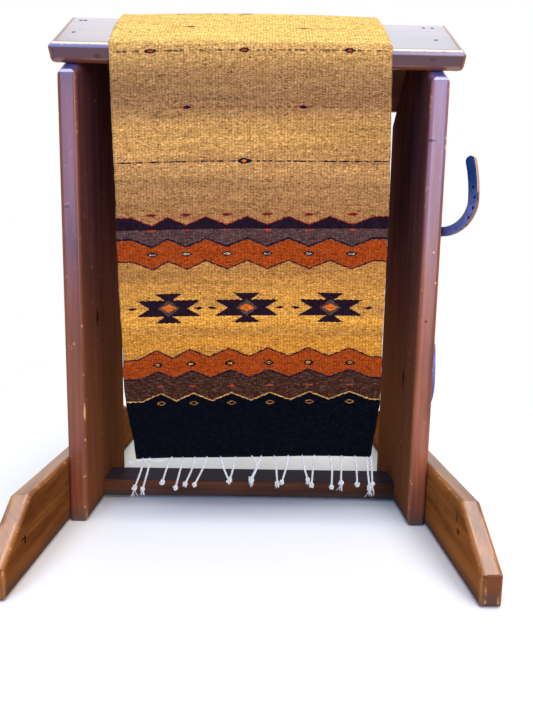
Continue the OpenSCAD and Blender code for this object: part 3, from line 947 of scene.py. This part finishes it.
# Bluish near-black laid on upward faces
BLUISH_DARK = srgb(30, 36, 52)
SOIL = srgb(66, 58, 52)
KNOT_EYE = srgb(34, 18, 12)
CRACK = srgb(26, 15, 11)
BARE_WOOD = srgb(206, 150, 104)
# Cream on the roof's outer arris: partly wear, partly painted highlight
ARRIS_HIGHLIGHT_AND_WEAR = srgb(226, 206, 170)
# Painted reflections of the sky in the varnish, and a painted highlight on the lip
SKY_REFLECTION = srgb(84, 106, 156)
DEEP_SKY = srgb(34, 52, 104)
LIP_HIGHLIGHT = srgb(204, 206, 224)
POST_SKY_Z = 0.875  # above this the uprights' sloped shoulders get a painted reflection of the sky
RING = 0.0075  # from one growth ring to the next


class Board(Graph):
    """A board's material in the making: its places, normals, grain, and colour so far."""

    def __init__(self, name, along, pith, knots, **settings):
        super().__init__(name, **settings)
        self.at = self.place()
        self.nx, self.ny, self.nz = self.normal()
        self.sideways = abs(self.nx)
        run = self.at["XYZ".index(along)]
        p, q = [self.at[i] for i in range(3) if "XYZ"[i] != along]

        def stretched(length, width):
            return self.vector(run * length, p * width, q * width)

        pull = 0.0
        for middle, radii in knots:
            one = self.near(middle, [r * 4 for r in radii])
            pull += one * one * 0.03
        sway = self.noise(stretched(1.6, 5), 2.0)
        from_pith = self.length(p - pith[0], q - pith[1])
        ring = (from_pith + (sway - 0.5) * 0.03 + pull) / RING
        self.late = self.math("POWER", self.math("FRACT", ring), 2.5)
        self.streak = self.noise(stretched(2.5, 42), 4.0, 0.6)
        self.pore = self.noise(stretched(18, 700), 3.0, 0.6)
        self.blotch = self.noise(stretched(2.4, 12), 4.0, 0.6)

    def near(self, middle, radii):
        """1 at the middle of an ellipsoid, 0 at its surface and outside it."""
        parts = [(p - m) / r for p, m, r in zip(self.at, middle, radii)]
        return 1 - self.length(*parts, clamp=True)

    def out_of(self, slope):
        """How far the face looks straight out of a roof board of this slope."""
        return self.nz * cos(slope) - self.ny * sin(slope)

    def arris(self, slope):
        """0 on the board's faces, up to 0.3 on its long rounded arrises."""
        if not slope:
            return 1 - self.most(self.sideways, self.length(self.ny, self.nz))
        up_slope = self.ny * cos(slope) + self.nz * sin(slope)
        return 1 - self.most(self.sideways, abs(up_slope), abs(self.out_of(slope)))


def stain(b, dark, mid, light):
    b.colour = b.mix(b.ramp(b.streak, 0.3, 0.75), mid, light)
    b.tint(b.ramp(b.blotch, 0.42, 0.70) * 0.85, dark)
    b.tint(b.late * 0.32, dark)
    b.tint(b.ramp(b.pore, 0.56, 0.72) * 0.25, dark)


def shade_inside(b, inside, depth, scuff):
    """The face towards the other upright: painted shade makes it deeper, it turns lighter and warmer
    low down, and a painted reflection of the sky makes it cold higher up.
    """
    # Painted shade on the inner face
    b.tint(inside * depth, INNER_SHADE)
    low = b.ramp(b.at[2], 0.78, 0.15)
    # Lighter and warmer towards the bottom
    b.tint(inside * low * scuff, INNER_LOW_TONE)
    # Painted reflection of the sky: cold tint higher up
    b.tint(inside * (1 - low) * scuff, INNER_SKY_TINT)


def reflect_sky(b, from_z, chill):
    """Painted reflection of the sky's blue on the front of an upright: cold streaks from half height,
    a painted reflection on the sloped shoulder from from_z, deeper on top, and a painted highlight
    on the lip where the slope bends over."""
    z, nz = b.at[2], b.nz
    outward = 1 - b.sideways
    streaked = 0.4 + 1.2 * b.ramp(b.streak, 0.38, 0.60)
    b.tint(b.ramp(z, 0.50, 0.68) * outward * streaked * chill, SKY_REFLECTION)
    b.tint(b.ramp(z, from_z, from_z + 0.03) * outward * 0.6, SKY_REFLECTION)
    # Painted reflection of the deeper sky on the tops
    b.tint(b.ramp(nz, 0.62, 0.75) * outward * 0.75, DEEP_SKY)
    lip = b.window(nz, (0.10, 0.25), (0.62, 0.45)) * b.ramp(-1 * b.ny, 0.60, 0.74)
    b.tint(lip * b.ramp(z, from_z, from_z + 0.01) * 0.6, LIP_HIGHLIGHT)


def draw_knots(b, knots, dark):
    """Dark eyes in darker wood. Gives back how much they dull the varnish."""
    dull = 0.0
    for middle, radii in knots:
        eye = b.near(middle, radii)
        dull += 0.55 * b.ramp(eye, 0.1, 0.5)
        b.tint(b.ramp(eye, 0.0, 0.35) * 0.6, dark)
        b.tint(b.ramp(eye, 0.45, 0.7) * 0.8, KNOT_EYE)
    return dull


def draw_cracks(b, cracks):
    """Dark slits. Gives back how deep they are."""
    hollow = 0.0
    for middle, radii in cracks:
        slit = b.ramp(b.near(middle, radii) + (b.pore - 0.5) * 0.5, 0.15, 0.45)
        b.tint(slit * 0.85, CRACK)
        hollow += slit
    return hollow


def wear(b, arris, scuff, light, chips, edge_wear, rubbed):
    """Thin stain and bare wood on the arrises, beside them and at chips. Gives back where the
    wood is bare."""
    thin = b.noise(b.scaled(b.at, 8), 2.0)
    b.tint(b.ramp(arris, 0.02, 0.2) * b.ramp(thin, 0.35, 0.6) * 0.55 * edge_wear, light)
    bare = b.ramp(arris, 0.1, 0.28) * b.ramp(scuff, 0.56, 0.66) * edge_wear
    beside = b.window(b.sideways, (0.06, 0.18), (0.46, 0.30))
    patches = b.ramp(thin + 0.4 * (scuff - 0.5), 0.44, 0.56)
    bare = b.most(bare, beside * patches * rubbed)
    for middle, radii in chips:
        bare = b.most(bare, b.ramp(b.near(middle, radii) + (scuff - 0.5) * 1.4, 0.2, 0.36))
    b.tint(bare, BARE_WOOD)
    return bare


def roof_edge_gloss_and_wear(b, slope, scuff):
    """A roof board's outer arris, pale partly from wear and partly from a painted highlight, and a
    painted reflection of the sky where its edge bends.
    """
    out = b.out_of(slope)
    worn = b.window(out, (0.66, 0.80), (0.98, 0.93)) * b.ramp(scuff, 0.25, 0.45)
    # Partly wear and partly painted highlight on the outer arris
    b.tint(worn * b.ramp(b.sideways, 0.5, 0.3) * 0.8, ARRIS_HIGHLIGHT_AND_WEAR)
    level = b.window(b.nz, (-0.28, -0.08), (0.22, 0.05))
    # Painted reflection of the sky where the edge bends
    b.tint(level * b.ramp(-1 * b.ny, 0.80, 0.88) * 0.3, SKY_REFLECTION)


def timber(node, name, along, pith, colours, knots=(), chips=(), cracks=(), edge_wear=0.5,
           slope=0.0, inner=0, inner_depth=0.2, inner_fade=0.3, forward_dark=0.0, forward_colour=None,
           dry_end=0.0, rubbed=0.0, dark_top=0.0, sky_from_z=None, chill=0.0, varnish=0.9,
           roughness=0.5, coat_ior=1.5):
    """Dresses a board in stained softwood, its grain along one axis, under varnish worn thin on the
    sides. pith is the tree's middle in the other two axes. knots, chips and cracks are
    (middle, radii). inner is 1 or -1 for the face towards +X or -X, which gets painted shade, no
    varnish, and the tones of shade_inside. forward_dark darkens what faces forward with
    forward_colour, dry_end takes its varnish off. rubbed bares the wood beside the long arrises.
    sky_from_z and chill are for reflect_sky, slope is for a roof board."""
    b = Board(name, along, pith, knots, Coat_Roughness=0.28, Coat_IOR=coat_ior, Specular_IOR_Level=0.0)
    dark, _, light = colours
    stain(b, *colours)
    inside = b.ramp(b.nx * inner, 0.5, 0.95) if inner else 0.0
    if inner:
        shade_inside(b, inside, inner_depth, inner_fade)
    # What faces forward is darkened: end grain on the feet, painted shade on the front roof board's
    # front edge
    forward = b.ramp(-1 * b.ny, 0.66, 0.78)
    b.tint(forward * forward_dark, forward_colour or dark)
    # Upward faces are darkened towards a bluish near-black
    b.tint(b.ramp(b.nz, 0.6, 0.95) * dark_top, BLUISH_DARK)
    b.tint(b.ramp(b.at[2] + 0.02 * (b.blotch - 0.5), 0.034, 0.010) * 0.55, SOIL)
    if sky_from_z:
        reflect_sky(b, sky_from_z, chill)
    dull = draw_knots(b, knots, dark)
    hollow = draw_cracks(b, cracks)
    scuff = b.noise(b.scaled(b.at, 60), 4.0, 0.7)
    bare = wear(b, b.arris(slope), scuff, light, chips, edge_wear, rubbed)
    if slope:
        roof_edge_gloss_and_wear(b, slope, scuff)
    b.set("Base Color", b.colour)

    smear = b.noise(b.scaled(b.at, 11), 4.0, 0.6)
    coat = varnish * (1 - inside) * (1 - 0.75 * b.sideways) * (1 - 0.7 * bare) * (1 - dull)
    b.set("Coat Weight", coat * (1 - dry_end * forward))
    b.set("Roughness", roughness - 0.08 + 0.16 * smear + 0.2 * bare + 0.2 * b.sideways)
    height = 0.5 * b.streak + 0.5 * b.late + 0.6 * b.ramp(b.pore, 0.5, 0.7) - 1.5 * hollow - 0.8 * bare
    dents = b.ramp(b.noise(b.scaled(b.at, 130), 2.0), 0.62, 0.8)
    b.set("Normal", b.bump(height - 1.2 * dents, 0.0003, 0.5))
    dress(b.material, node)


def dress(material, *nodes):
    for node in nodes:
        for slot in NODES[node].material_slots:
            slot.material = material


def dress_uprights():
    left_in, left_out = LEFT_UPRIGHT[1].x, LEFT_UPRIGHT[0].x
    right_in, right_out = RIGHT_UPRIGHT[0].x, RIGHT_UPRIGHT[1].x
    front = LEFT_UPRIGHT[0].y
    timber(
        "left_upright_front_board", "left_front_wood", "Z", (left_out - 0.05, -0.08), STAIN,
        inner=1, sky_from_z=POST_SKY_Z,
        knots=[((left_in, -0.06, 0.42), (0.012, 0.016, 0.024))],
        chips=[((left_in - 0.003, front + 0.004, 0.235), (0.004, 0.004, 0.030)),
               ((left_in - 0.003, front + 0.004, 0.175), (0.003, 0.003, 0.008))],
        cracks=[((left_out + 0.012, front, 0.640), (0.009, 0.004, 0.0022))])
    timber(
        "left_upright_rear_board", "left_rear_wood", "Z", (left_out - 0.03, 0.12), STAIN, inner=1)
    # The right front board takes the lighter stain, a painted reflection of the sky
    timber(
        "right_upright_front_board", "right_front_wood", "Z", (right_out + 0.06, -0.05),
        SHEEN_LIT_STAIN, inner=-1, inner_depth=0.45, sky_from_z=POST_SKY_Z, chill=0.24,
        knots=[((right_in, -0.07, 0.30), (0.010, 0.014, 0.03)),
               ((right_in + 0.016, front, 0.430), (0.004, 0.004, 0.004))],
        chips=[((right_out - 0.003, front + 0.003, 0.783), (0.003, 0.004, 0.004)),
               ((right_out - 0.003, front + 0.003, 0.766), (0.003, 0.004, 0.006)),
               ((right_out - 0.014, front, 0.566), (0.0025, 0.003, 0.003)),
               ((right_out - 0.007, front, 0.507), (0.0025, 0.003, 0.003))],
        cracks=[((right_in + 0.007, front, 0.777), (0.014, 0.006, 0.0036))])
    timber(
        "right_upright_rear_board", "right_rear_wood", "Z", (right_out + 0.04, 0.13), STAIN, inner=-1)


def dress_roof_and_rail():
    finish = dict(varnish=1.0, roughness=0.3, coat_ior=1.9)
    edge = ROOF_LOW.y
    timber(
        "front_roof_board", "front_roof_wood", "X", (-0.10, 0.86), STAIN, slope=ROOF_SLOPE,
        edge_wear=0.8, forward_dark=0.9, forward_colour=ROOF_FRONT_SHADE, dry_end=0.3, **finish,
        knots=[((0.337, edge + 0.009, 0.926), (0.013, 0.009, 0.005)),
               ((-0.297, edge + 0.012, 0.921), (0.013, 0.009, 0.006))])
    timber(
        "rear_roof_board", "rear_roof_wood", "X", (0.12, 0.84), STAIN, slope=-ROOF_SLOPE, **finish)
    timber(
        "lower_rail", "rail_wood", "X", (0.02, -0.06), RAIL_STAIN, varnish=0.1,
        roughness=0.55, edge_wear=0.2, dark_top=0.75)


def dress_feet():
    left_in, right_in = LEFT_FOOT[1].x, RIGHT_FOOT[0].x
    finish = dict(edge_wear=0.9, forward_dark=0.8, dry_end=0.9, rubbed=0.65, varnish=1.0,
                  coat_ior=1.85, inner_fade=0)
    timber(
        "left_foot", "left_foot_wood", "Y", (-0.44, 0.02), FOOT_STAIN, inner=1,
        inner_depth=0.3, **finish,
        cracks=[((left_in, -0.380, 0.066), (0.004, 0.0045, 0.012)),
                ((left_in, -0.388, 0.070), (0.004, 0.017, 0.0026))])
    timber(
        "right_foot", "right_foot_wood", "Y", (0.46, 0.03), FOOT_STAIN, inner=-1,
        inner_depth=0.06, **finish,
        knots=[((right_in, -0.3514, 0.0764), (0.004, 0.010, 0.008))],
        cracks=[((right_in, -0.3405, 0.098), (0.004, 0.003, 0.016))])


# ---- metal ----

def forged_iron():
    """Blued steel with forge scale, and brown along the rim, partly rust where the bluing has worn off
    and partly a painted highlight, paler higher up.
    """
    g = Graph("forged_iron", Metallic=0.8, Specular_IOR_Level=0.5)
    hollow = g.value("Attribute", (), "Fac", attribute_name="hollow")
    place = g.place()
    scaled = g.scaled(place, 70)
    cloud = g.noise(scaled, 4.0, 0.6)
    grain = g.noise(scaled, 3.0, 0.6, scale=14.0)
    high = g.ramp(place[2], HOOK_LOW.z, HOOK_HIGH.z)
    blue = g.mix(g.ramp(high, 0.25, 0.8), srgb(92, 98, 150), srgb(8, 48, 106))
    g.colour = g.mix(g.ramp(cloud, 0.45, 0.7) * 0.55, blue, srgb(24, 34, 70))
    g.tint(g.ramp(grain, 0.52, 0.68) * 0.55, srgb(18, 20, 32))
    g.tint(g.ramp(grain, 0.44, 0.34) * 0.4, srgb(120, 140, 190))
    nx, ny, _ = g.normal()
    bent = nx * cos(HOOK_BEND) + ny * sin(HOOK_BEND)
    flat = g.most(abs(nx), abs(bent))
    rim = g.ramp(flat, 0.93, 0.78) * g.ramp(place[2], HOOK_LOW.z - 0.02, HOOK_LOW.z)
    # Rim colour: partly rust, partly painted highlight that is paler higher up
    rim_rust_and_highlight = g.mix(g.ramp(cloud, 0.42, 0.52), srgb(34, 32, 44), srgb(160, 104, 66))
    rim_rust_and_highlight = g.mix(g.ramp(high, 0.52, 0.60), rim_rust_and_highlight, srgb(196, 150, 112))
    g.tint(rim, rim_rust_and_highlight)
    g.tint(hollow, srgb(16, 15, 18))
    g.set("Base Color", g.colour)
    g.set("Roughness", 0.36 + 0.3 * cloud + 0.3 * hollow)
    g.set("Normal", g.bump(cloud + 0.4 * grain, 0.0004, 0.6))
    return g.material


def mark_holes(work):
    """Gives the walls of a shoe's nail holes the face attribute hollow."""
    hollow = work.faces.layers.float.new("hollow")
    tree = BVHTree.FromBMesh(work)
    for face in work.faces:
        start = face.calc_center_median() + face.normal * 1e-5
        if tree.ray_cast(start, face.normal, HOLE_W)[0]:
            face[hollow] = 1.0


def forged_shoe(name, node, iron):
    """The node's shoe with its edges eased by the hammer."""
    mesh = NODES[node].data.copy()
    mesh.name = name
    work = bmesh.new()
    work.from_mesh(mesh)
    bmesh.ops.remove_doubles(work, verts=work.verts, dist=1e-6)
    bmesh.ops.dissolve_limit(work, angle_limit=radians(1), verts=work.verts, edges=work.edges)
    work.normal_update()
    mark_holes(work)
    edges = [e for e in work.edges if len(e.link_faces) == 2 and e.calc_face_angle(0) > radians(50)]
    bmesh.ops.bevel(work, geom=edges, offset=0.0009, segments=2, profile=0.6, affect="EDGES",
                    clamp_overlap=True)
    work.to_mesh(mesh)
    work.free()
    mesh.materials.clear()
    mesh.materials.append(iron)
    piece = add_piece(name, mesh)
    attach(piece, "stand")
    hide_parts(node)


def dark_steel():
    g = Graph("dark_steel", Metallic=0.8)
    spots = g.noise(g.scaled(g.place(), 400), 3.0, 0.6)
    g.set("Base Color", g.mix(spots, srgb(58, 54, 52), srgb(96, 88, 84)))
    g.set("Roughness", 0.4 + 0.3 * spots)
    return g.material


def dress_metal():
    iron = forged_iron()
    forged_shoe("forged_hook", "horseshoe_hook", iron)
    forged_shoe("forged_flat_shoe", "flat_horseshoe", iron)
    dress(dark_steel(), "hook_nails", "flat_horseshoe_nails", "roof_screws", "left_foot_screws",
          "right_foot_screws", "rail_screws")


# ---- putting it together ----

bpy.context.scene.view_settings.view_transform = "Standard"
make_camera()
make_light()
make_floor()
dress_uprights()
dress_roof_and_rail()
dress_feet()
dress_metal()
rug = make_rug()
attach(rug, "rug")
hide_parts("rug")
fringes = make_fringes()
